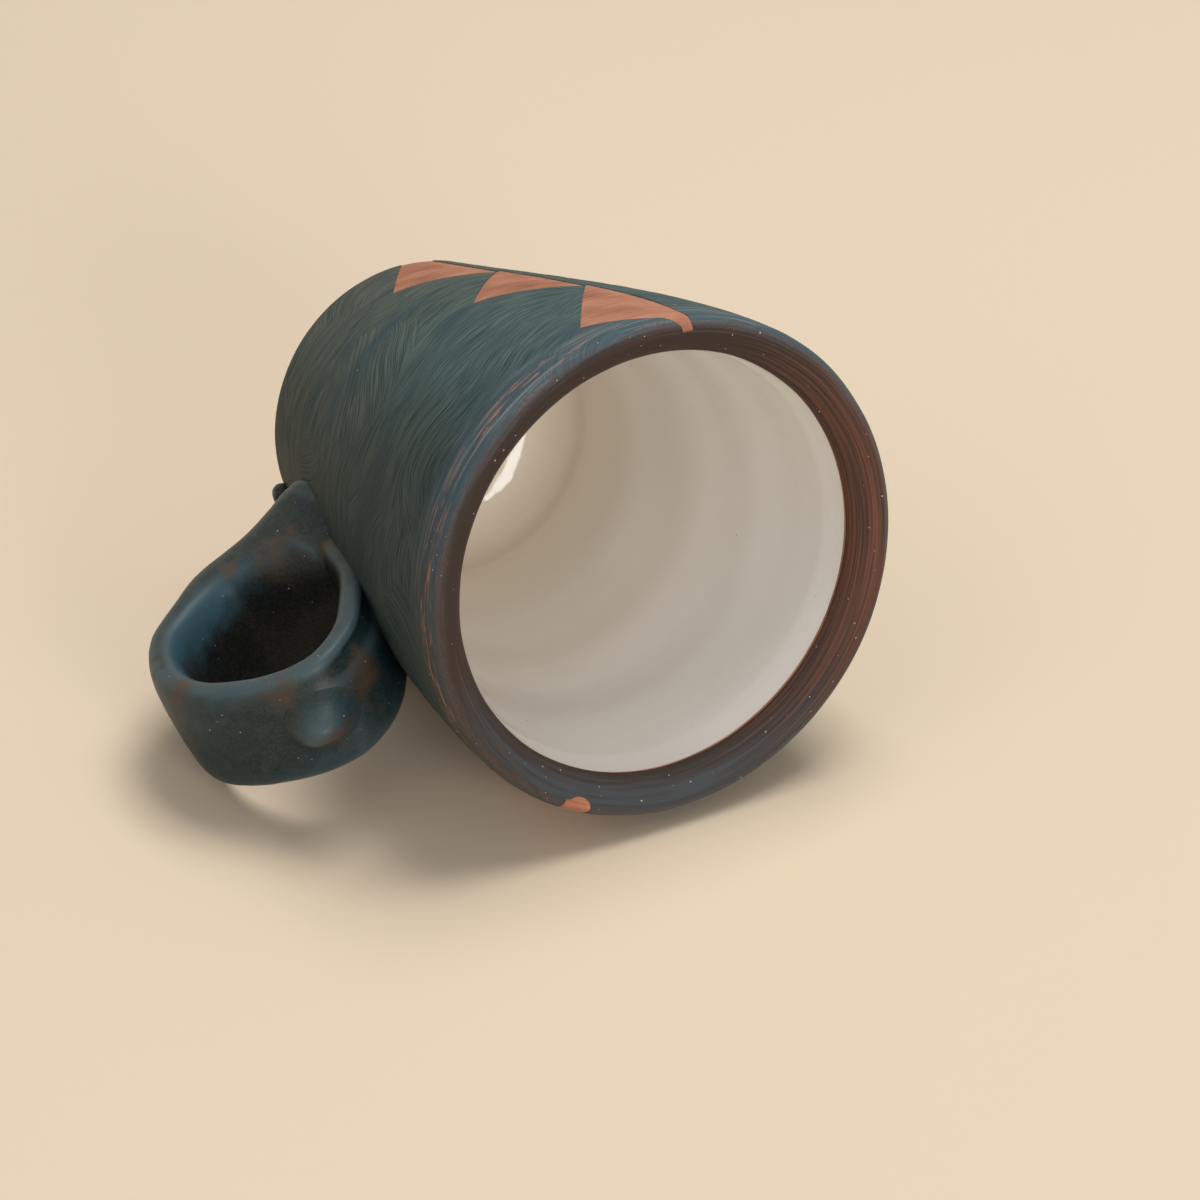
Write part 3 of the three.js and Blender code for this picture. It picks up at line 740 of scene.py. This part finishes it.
def clay_body(material):
    """Clay body from the foot, up to just under the slip, over the lip and down the inside."""
    foot = [[FOOT_RADIUS * share, 0.0] for share in (0.3, 0.6, 0.9)]
    foot.append([FOOT_RADIUS - FOOT_CHAMFER, 0.0])
    outside = thickened(outer_profile(wall_rows=90, lip_rows=6), SLIP_THICKNESS - SLIP_STEP)
    inside = inner_profile(wall_rows=40, corner_rows=10)[1:]
    points = turned(np.concatenate([foot, outside, inside]), columns=240)
    mesh = grid_mesh("clay_body", points, (0, 0, 0), (0, 0, FLOOR_THICKNESS))
    return new_object("clay_body_turned", mesh, material)


def glaze_lining(material):
    """Glaze over the inside, with shallow throwing rings and an uneven upper edge."""
    columns = 256
    ring_pitch = 13.0
    ring_depth = 0.08
    edge_depth = 0.35
    clay = inner_profile(wall_rows=110, corner_rows=16)
    from_edge = GLAZE_LINE - clay[:, 1:]
    coat = thickened(clay, GLAZE_THICKNESS * np.clip(0.06 + from_edge / 5, 0, 1))
    points = turned(coat, columns)
    azimuth = np.arctan2(points[..., 1], points[..., 0])
    height = points[..., 2]
    below_lip = np.clip((GLAZE_LINE - 6 - height) / 10, 0, 1)
    above_floor = np.clip((height - 14) / 8, 0, 1)
    rings = np.sin(2 * np.pi * height / ring_pitch + azimuth) * below_lip
    points = points - out_of_axis(points) * (ring_depth * rings * above_floor)[..., None]
    under = turned(clay, columns)
    points[0, :, 2] += edge_depth * bumps(under[0], 4.0)
    mesh = grid_mesh("glaze_lining", np.concatenate([under[1:2], under[:1], points]), None,
                     (0, 0, FLOOR_THICKNESS + GLAZE_THICKNESS))
    return new_object("glaze_lining_rings", mesh, material)


def strap_path():
    """Centre line of the strap in the upright plane, as many points (x, z) in mm with even spacing."""
    rest = STRAP_THICKNESS / 2
    eye_centre = wall_radius(EYE_CENTRE_HEIGHT) + SEAT_STRAP + EYE_WIDTH / 2
    half_width = EYE_WIDTH / 2 + rest
    half_height = EYE_HEIGHT / 2 + rest
    root = wall_radius(ROOT_HEIGHT)
    seat_top = EYE_CENTRE_HEIGHT + EYE_HEIGHT / 8
    seat_foot = ROOT_HEIGHT + ROOT_FLARE_THICKNESS / 2
    loop = ((0.08, -1.1), (0.72, -0.8), (0.97, -0.15), (0.86, 0.33), (0.5, 0.78), (0, 1), (-0.43, 0.82),
            (-0.74, 0.44))
    knots = [
        (root - WALL_THICKNESS / 2, ROOT_HEIGHT - rest / 2),
        (root + ROOT_FLARE_LENGTH, ROOT_HEIGHT + rest / 2),
    ]
    knots += [(eye_centre + across * half_width, EYE_CENTRE_HEIGHT + up * half_height) for across, up in loop]
    for height in (seat_top - EYE_HEIGHT / 12, (seat_top + seat_foot) / 2, seat_foot):
        knots.append((wall_radius(height) + SEAT_STRAP + SEAT_LIFT - rest, height))
    return even_spacing(smooth_through(np.array(knots)), count=420)


def smooth_through(knots):
    """Centripetal Catmull-Rom curve through the knots."""
    padded = np.concatenate([[2 * knots[0] - knots[1]], knots, [2 * knots[-1] - knots[-2]]])
    t = np.linspace(0, 1, 60, endpoint=False)[:, None]
    stretches = []
    for a, b, c, d in zip(padded, padded[1:], padded[2:], padded[3:]):
        first, middle, last = (math.sqrt(np.linalg.norm(q - p)) for p, q in ((a, b), (b, c), (c, d)))
        leave = ((b - a) / first - (c - a) / (first + middle) + (c - b) / middle) * middle
        arrive = ((c - b) / middle - (d - b) / (middle + last) + (d - c) / last) * middle
        stretches.append((2 * t ** 3 - 3 * t ** 2 + 1) * b + (t ** 3 - 2 * t ** 2 + t) * leave
                         + (3 * t ** 2 - 2 * t ** 3) * c + (t ** 3 - t ** 2) * arrive)
    return np.concatenate(stretches + [knots[-1:]])


def even_spacing(line, count):
    """The same line with its points evenly spaced."""
    run = np.concatenate([[0], np.cumsum(np.linalg.norm(np.diff(line, axis=0), axis=1))])
    even = np.linspace(0, run[-1], count)
    return np.stack([np.interp(even, run, line[:, axis]) for axis in (0, 1)], axis=-1)


def swelling(swell, share):
    """How far a swelling (depth, middle, span) stands out at each share along or across the strap."""
    depth, middle, span = swell
    return depth * np.exp(-((share - middle) / span) ** 2)


def rounded(value, squareness):
    """A sine or cosine bent so that its curve has squarer corners."""
    return np.sign(value) * np.abs(value) ** (2 / squareness)


def strap_grid(path, first, last):
    """Rings of points round a stretch of the strap, with a bead along its near edge by the wall."""
    share = np.linspace(0, 1, len(path))[:, None]
    tangent = np.gradient(path, axis=0)
    tangent /= np.linalg.norm(tangent, axis=1, keepdims=True)
    from_wall = np.maximum(path[:, :1] - wall_radius(ROOT_HEIGHT), 0)
    way_out = np.clip((TURN_SHARE - share) / FLARE_FADE, 0, 1)
    flare = way_out * np.exp(-from_wall / ROOT_FLARE_LENGTH)
    web = way_out * np.minimum(WEB_RISE * np.maximum(1 - from_wall / WEB_REACH, 0) ** 2, WEB_LIMIT)
    half_width = (STRAP_WIDTH + ROOT_FLARE_WIDTH * flare) / 2
    half_thickness = (STRAP_THICKNESS + ROOT_FLARE_THICKNESS * flare) / 2
    squareness = STRAP_SQUARENESS + (ROOT_SQUARENESS - STRAP_SQUARENESS) * flare
    ring_points = 72
    angle = np.arange(ring_points) * 2 * np.pi / ring_points
    thick = rounded(np.cos(angle), squareness)
    wide = rounded(np.sin(angle), squareness)
    outer_face = np.clip(thick * 2, 0, 1)
    bead = swelling(EDGE_BEAD, wide) - swelling(EDGE_GROOVE, wide)
    rise = half_thickness * thick + swelling(GROOVE_STRETCH, share) * bead * outer_face
    rise = rise + swelling(ARM_SWELL, share) * outer_face + web * np.minimum(thick, 0)
    spread = swelling(FAR_SWELL, share) * np.clip(wide * 1.5, 0, 1)
    rings = np.stack([path[:, :1] + tangent[:, 1:] * rise, half_width * wide + spread,
                      path[:, 1:] - tangent[:, :1] * rise], axis=-1)
    return rings[first:last]


def closed_loft(name, rings):
    """Closed mesh through rings of points, with a middle point at both ends."""
    return grid_mesh(name, rings[:, ::-1], rings[0].mean(axis=0), rings[-1].mean(axis=0))


def joined(name, meshes, material):
    """One object from several meshes."""
    shell = bmesh.new()
    for mesh in meshes:
        shell.from_mesh(mesh)
    bmesh.ops.recalc_face_normals(shell, faces=shell.faces)
    mesh = bpy.data.meshes.new(name)
    shell.to_mesh(mesh)
    shell.free()
    return new_object(name, mesh, material)


def fused(piece, voxel):
    """Fuse the overlapping solids of a piece into one skin of even cells, and smooth the skin a little."""
    remesh = piece.modifiers.new("fuse", "REMESH")
    remesh.mode = "VOXEL"
    remesh.voxel_size = voxel * MM
    smooth = piece.modifiers.new("smooth", "SMOOTH")
    smooth.factor = 0.5
    smooth.iterations = 8
    return baked(piece)


def store(mesh, name, values):
    """Store one number per point as a named attribute."""
    attribute = mesh.attributes.new(name, "FLOAT", "POINT")
    attribute.data.foreach_set("value", values.astype(np.float32))


def coordinates(mesh):
    """A mesh's points in mm."""
    flat = np.zeros(len(mesh.vertices) * 3, np.float32)
    mesh.vertices.foreach_get("co", flat)
    return flat.reshape(-1, 3).astype(float) / MM


def normals(mesh):
    """A mesh's point normals."""
    flat = np.zeros(len(mesh.vertices) * 3, np.float32)
    mesh.vertices.foreach_get("normal", flat)
    return flat.reshape(-1, 3).astype(float)


def put_points(mesh, points):
    """Move a mesh's points to places in mm."""
    mesh.vertices.foreach_set("co", (points * MM).astype(np.float32).ravel())
    mesh.update()


def roughened(piece, *coats):
    """Move a piece's points along their normals by noise; each coat is (depth, size, seed) in mm."""
    points = coordinates(piece.data)
    depth = sum(height * bumps(points, size, seed) for height, size, seed in coats)
    put_points(piece.data, points + normals(piece.data) * depth[:, None])


def standing_out(mesh):
    """How far each point stands out from its neighbours, from -1 to 1 at about a tenth of a millimetre."""
    smoothing_rounds = 24
    full_height = 0.12
    points = coordinates(mesh)
    edges = np.zeros(len(mesh.edges) * 2, np.int32)
    mesh.edges.foreach_get("vertices", edges)
    first, second = edges.reshape(-1, 2).T
    around = points.copy()
    count = np.bincount(edges, minlength=len(points)).clip(1)[:, None]
    for _ in range(smoothing_rounds):
        total = np.zeros_like(around)
        np.add.at(total, first, around[second])
        np.add.at(total, second, around[first])
        around = 0.5 * around + 0.5 * total / count
    out = np.einsum("ij,ij->i", points - around, normals(mesh))
    return np.clip(out / full_height, -1, 1)


def mark_wear(piece, wear_and_sheen=None):
    """Store three attributes: wear, given or else how far each point stands out from its neighbours, which
    sets worn edges and a painted sheen; inside, how much its face looks at the middle of the finger's eye,
    which places the painted light and shade of the loop; and rubbed, how near a rubbed spot is."""
    mesh = piece.data
    points = coordinates(mesh)
    store(mesh, "wear_and_sheen", standing_out(mesh) if wear_and_sheen is None else wear_and_sheen)
    eye = np.array([wall_radius(EYE_CENTRE_HEIGHT) + SEAT_STRAP + EYE_WIDTH / 2, 0, EYE_CENTRE_HEIGHT])
    towards = (eye - points) * np.array([1, 0, 1])
    towards /= np.linalg.norm(towards, axis=1, keepdims=True)
    inside = np.einsum("ij,ij->i", towards, normals(mesh))
    store(mesh, "inside", np.clip(inside, 0, 1))
    nearness = []
    for *spot, reach in RUBBED_SPOTS:
        distance = np.linalg.norm(points - np.array(spot), axis=1)
        nearness.append(np.exp(-(distance / reach) ** 2))
    store(mesh, "rubbed", np.max(nearness, axis=0))


def wall_cutter(margin):
    """Solid of everything inside the wall and a margin, for seating a piece on it."""
    below_foot = -5
    height = np.linspace(below_foot, CLAY_HEIGHT, 60)
    profile = np.stack([wall_radius(height) + margin, height], axis=-1)
    mesh = grid_mesh("wall_cutter", turned(profile, columns=180), (0, 0, below_foot), (0, 0, CLAY_HEIGHT))
    cutter = bpy.data.objects.new("wall_cutter", mesh)
    bpy.context.scene.collection.objects.link(cutter)
    return cutter


def seated(piece, margin):
    """Cut a piece where it meets the wall."""
    cutter = wall_cutter(margin)
    cut = piece.modifiers.new("seat", "BOOLEAN")
    cut.operation = "DIFFERENCE"
    cut.solver = "EXACT"
    cut.object = cutter
    baked(piece)
    bpy.data.objects.remove(cutter)
    return piece


def handle_strap(material, path):
    """Strap rolled into a loop: its way out from the root and its way back, fused and rubbed smooth."""
    turn = round(TURN_SHARE * len(path))
    lofts = [closed_loft("strap_out", strap_grid(path, 0, turn + 1)),
             closed_loft("strap_back", strap_grid(path, turn, len(path)))]
    piece = fused(joined("handle_strap_rolled", lofts, material), voxel=0.32)
    roughened(piece, (0.14, 7.0, 3.0), (0.04, 2.0, 5.0))
    seated(piece, STRAP_SEAT)
    mark_wear(piece)
    return piece


def thumb_pellet(material, path, strap):
    """Ball pressed on the crest of the loop: a dome whose skirt lies on the strap's face, with a crease on
    one side, and melts into the strap on the other."""
    shares = np.linspace(0, 1, len(path))
    length = np.linalg.norm(np.diff(path, axis=0), axis=1).sum()
    tangent = np.gradient(path, axis=0)
    tangent /= np.linalg.norm(tangent, axis=1, keepdims=True)
    columns = 96
    azimuth = np.arange(columns) * 2 * np.pi / columns
    reach = np.linspace(0, 1, 61)[:, None]
    melt = 0.5 + 0.5 * np.cos(azimuth - math.radians(PELLET_MELT_AZIMUTH))
    radius = PELLET_RADIUS * PELLET_SKIRT * reach * np.ones_like(melt)
    share = PELLET_SHARE + radius * np.cos(azimuth) / length
    aside = PELLET_ASIDE + radius * np.sin(azimuth)
    centre = np.stack([np.interp(share, shares, path[:, 0]), aside,
                       np.interp(share, shares, path[:, 1])], axis=-1)
    outward = np.stack([np.interp(share, shares, tangent[:, 1]), np.zeros_like(aside),
                        -np.interp(share, shares, tangent[:, 0])], axis=-1)

    # Height of the strap's face above its centre line, found by looking at it from outside
    face = np.full(aside.shape, STRAP_THICKNESS / 2)
    corners = [list(polygon.vertices) for polygon in strap.data.polygons]
    strap_tree = BVHTree.FromPolygons(coordinates(strap.data).tolist(), corners)
    for place in np.ndindex(face.shape):
        start = centre[place] + outward[place] * STRAP_THICKNESS
        hit, _, _, distance = strap_tree.ray_cast(Vector(start), Vector(-outward[place]))
        if hit:
            face[place] = STRAP_THICKNESS - distance

    from_middle = radius / PELLET_RADIUS / (1 + PELLET_MELT_SPREAD * melt)
    dome = (PELLET_HALF_HEIGHT + PELLET_RISE) * np.exp(-PELLET_FALL * from_middle ** PELLET_ROUNDNESS)
    crease = PELLET_CREASE * (1 - melt) * reach ** 4
    height = face + dome + PELLET_LIFT - crease - PELLET_TUCK * reach ** 12
    points = centre + outward * height[..., None]
    mesh = grid_mesh("thumb_pellet", points[1:, ::-1], points[0, 0], centre[0, 0])
    piece = joined("thumb_pellet_pressed", [mesh], material)
    # The pellet's wear is its dome's height: the top of the dome takes the paler edge colour as a painted
    # sheen, and the melt side some of it
    dome_sheen_and_wear = np.maximum(dome / dome[0, 0], PELLET_MELT_WEAR * melt)
    mark_wear(piece, np.concatenate([dome_sheen_and_wear[1:, ::-1].ravel(), [1, 0]]))
    return piece


def root_dab(material):
    """Dab of clay squeezed out by the foot."""
    azimuth = math.radians(DAB_AZIMUTH)
    outward = np.array([math.cos(azimuth), math.sin(azimuth), 0])
    around = np.array([-math.sin(azimuth), math.cos(azimuth), 0])
    up = np.array([0, 0, 1])
    from_axis = wall_radius(DAB_HEIGHT) + SLIP_THICKNESS + DAB_RADIUS / 2
    middle = outward * from_axis + up * DAB_HEIGHT
    columns = 48
    turn = np.arange(columns)[:, None] * 2 * np.pi / columns
    polar = np.radians(np.linspace(0, 180, 34)[1:-1])[:, None, None]
    ring = np.cos(turn) * around * DAB_HALF_LENGTH + np.sin(turn) * outward * DAB_RADIUS
    points = middle + np.sin(polar) * ring + np.cos(polar) * up * DAB_RADIUS
    mesh = grid_mesh("root_dab", points, middle + up * DAB_RADIUS, middle - up * DAB_RADIUS)
    piece = joined("root_dab_squeezed", [mesh], material)
    roughened(piece, (0.25, 1.6, 4.0), (0.08, 0.6, 9.0))
    seated(piece, DAB_SEAT)
    mark_wear(piece)
    return piece


def grog_tree(material):
    """Node tree that sets small grains of grog in a surface, where the attribute grog lets them show."""
    tree = bpy.data.node_groups.new("grog_grains", "GeometryNodeTree")
    sockets = tree.interface
    sockets.new_socket("Surface", in_out="INPUT", socket_type="NodeSocketGeometry")
    for name in ("Grains per square metre", "Smallest grain", "Largest grain"):
        sockets.new_socket(name, in_out="INPUT", socket_type="NodeSocketFloat")
    sockets.new_socket("Seed", in_out="INPUT", socket_type="NodeSocketInt")
    sockets.new_socket("Surface", in_out="OUTPUT", socket_type="NodeSocketGeometry")
    add = partial(add_node, tree)
    given = add("NodeGroupInput").outputs
    shown = add("GeometryNodeInputNamedAttribute", {"Name": "grog"}, data_type="FLOAT").outputs["Attribute"]
    density = add("ShaderNodeMath", {0: shown, 1: given["Grains per square metre"]},
                  operation="MULTIPLY").outputs[0]
    spots = add("GeometryNodeDistributePointsOnFaces", {"Mesh": given["Surface"], "Density": density,
                                                        "Seed": given["Seed"]}).outputs
    size = add("FunctionNodeRandomValue", {2: given["Smallest grain"], 3: given["Largest grain"],
                                           "Seed": given["Seed"]}, data_type="FLOAT").outputs[1]
    grain = add("GeometryNodeMeshIcoSphere", {"Radius": 1.0, "Subdivisions": 2}).outputs["Mesh"]
    flatness = 0.45
    thickness = add("ShaderNodeMath", {0: size, 1: flatness}, operation="MULTIPLY").outputs[0]
    flat = add("ShaderNodeCombineXYZ", {0: size, 1: size, 2: thickness}).outputs[0]
    grains = add("GeometryNodeInstanceOnPoints", {"Points": spots["Points"], "Instance": grain,
                                                  "Rotation": spots["Rotation"], "Scale": flat}).outputs[0]
    real = add("GeometryNodeRealizeInstances", {0: grains}).outputs[0]
    painted = add("GeometryNodeSetMaterial", {"Geometry": real, "Material": material}).outputs[0]
    both = add("GeometryNodeJoinGeometry", {0: given["Surface"]})
    tree.links.new(painted, both.inputs[0])
    add("NodeGroupOutput", {0: both.outputs[0]})
    return tree


def set_grog(piece, tree, shown, grains_per_cm2, sizes, seed):
    """Set grains in a piece's surface; shown is their share at each point, and sizes are radii in mm."""
    store(piece.data, "grog", shown)
    modifier = piece.modifiers.new("grog", "NODES")
    modifier.node_group = tree
    values = {"Grains per square metre": grains_per_cm2 * 1e4, "Smallest grain": sizes[0] * MM,
              "Largest grain": sizes[1] * MM, "Seed": seed}
    for socket in tree.interface.items_tree:
        if socket.name in values:
            modifier[socket.identifier] = values[socket.name]
    return baked(piece)


# Stage

def floor_disc(level):
    """Round floor under the mug, its fade kept as an attribute from the middle to the edge."""
    radii = np.linspace(0, FLOOR_RADIUS, 7)
    pinhole = 0.02
    radii[0] = pinhole
    columns = 96
    turn = np.arange(columns)[:, None] * 2 * np.pi / columns
    circle = np.cos(turn) * np.array(TABLE_AWAY) + np.sin(turn) * np.array(TABLE_RIGHT)
    points = radii[:, None, None] * circle + np.array(TABLE_UP) * level
    mesh = grid_mesh("floor", points)
    fade = np.clip((radii - FLOOR_FADE) / (FLOOR_RADIUS - FLOOR_FADE), 0, 1)
    store(mesh, "fade", np.repeat(fade, columns))
    floor = new_object("floor", mesh, pale_floor())
    floor.visible_shadow = False


def soft_lamp(name, right, away, up, share, size):
    """Area lamp in a direction given on the table; share is the light it gives a white sheet facing it."""
    lamp = bpy.data.lights.new(name, "AREA")
    lamp.shape = "RECTANGLE"
    lamp.size, lamp.size_y = size
    lamp.energy = share * math.pi ** 2 * LAMP_DISTANCE ** 2
    holder = bpy.data.objects.new(name, lamp)
    bpy.context.scene.collection.objects.link(holder)
    towards = (TABLE_RIGHT * right + TABLE_AWAY * away + TABLE_UP * up).normalized()
    side = TABLE_UP.cross(towards).normalized()
    place = Matrix((side, towards.cross(side), towards)).transposed().to_4x4()
    place.translation = LAMP_AIM + towards * LAMP_DISTANCE
    holder.matrix_world = place


def studio_world():
    """Soft room light, brighter above the table than below, and a plain pale backdrop."""
    world = bpy.data.worlds.new("studio")
    world.use_nodes = True
    tree = world.node_tree
    add = partial(add_node, tree)
    direction = add("ShaderNodeTexCoord").outputs["Generated"]
    up = add("ShaderNodeVectorMath", {0: direction, 1: TABLE_UP}, operation="DOT_PRODUCT").outputs["Value"]
    up_share = add("ShaderNodeMapRange", {"Value": up, "From Min": -1.0, "From Max": 1.0}).outputs[0]
    room = add("ShaderNodeValToRGB", {"Fac": up_share}, stops=ROOM_LIGHT).outputs[0]
    light = add("ShaderNodeBackground", {"Color": room, "Strength": 1.0}).outputs[0]
    backdrop = add("ShaderNodeBackground", {"Color": linear(FLOOR_COLOUR), "Strength": 1.0}).outputs[0]
    rays = add("ShaderNodeLightPath").outputs
    seen = add("ShaderNodeMath", {0: rays["Is Camera Ray"], 1: rays["Is Transmission Ray"]},
               operation="MAXIMUM").outputs[0]
    seen = add("ShaderNodeMath", {0: seen, 1: rays["Is Glossy Ray"]}, operation="MAXIMUM").outputs[0]
    mixed = add("ShaderNodeMixShader", {0: seen, 1: light, 2: backdrop}).outputs[0]
    tree.links.new(mixed, tree.nodes["World Output"].inputs["Surface"])
    bpy.context.scene.world = world


def photo_camera():
    """Camera where the photograph was taken from."""
    data = bpy.data.cameras.new("camera")
    data.lens = LENS
    data.sensor_width = SENSOR
    camera = bpy.data.objects.new("camera", data)
    bpy.context.scene.collection.objects.link(camera)
    upright = TABLE_RIGHT.cross(CAMERA_VIEW).normalized()
    place = Matrix((TABLE_RIGHT, upright, -CAMERA_VIEW.normalized())).transposed().to_4x4()
    place.translation = CAMERA_PLACE
    camera.matrix_world = place
    bpy.context.scene.camera = camera


photo_camera()
path = strap_path()
rubbed = handle_slip()
strap = handle_strap(rubbed, path)
clay = clay_body(red_clay())
coat = slip_coat(brushed_slip())
lining = glaze_lining(white_glaze())
pellet = thumb_pellet(rubbed, path, strap)
dab = root_dab(rubbed)
pieces = (
    (clay, "clay_body", "red_clay"),
    (coat, "slip_coat", "wall_slip"),
    (lining, "glaze_lining", "white_glaze"),
    (strap, "handle_strap", "handle_slip"),
    (pellet, "thumb_pellet", "handle_slip"),
    (dab, "root_dab", "handle_slip"),
)

grog = grog_tree(pale_grog())
by_lip = np.clip((coordinates(coat.data)[:, 2] - GROG_START) / GROG_BAND, FEWEST_GRAINS, 1)
set_grog(coat, grog, by_lip, grains_per_cm2=7.0, sizes=(0.04, 0.12), seed=4)
for piece, grains_per_cm2, seed in ((strap, 2.2, 9), (pellet, 2.0, 2)):
    everywhere = np.ones(len(piece.data.vertices))
    set_grog(piece, grog, everywhere, grains_per_cm2, sizes=(0.04, 0.1), seed=seed)

for piece, node, slot in pieces:
    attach(piece, "root")
    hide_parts(node)

lowest = min(float((coordinates(piece.data) @ np.array(TABLE_UP)).min()) for piece, node, slot in pieces)
floor_disc(lowest)
soft_lamp("window_above", right=0.2, away=0.16, up=0.97, share=0.7, size=(0.7, 0.6))
soft_lamp("room_left", right=-0.5, away=-0.6, up=0.62, share=0.12, size=(0.9, 0.9))
soft_lamp("window_front", right=0.43, away=-0.87, up=0.22, share=0.46, size=(0.4, 0.55))
studio_world()
bpy.context.scene.view_settings.view_transform = "Standard"
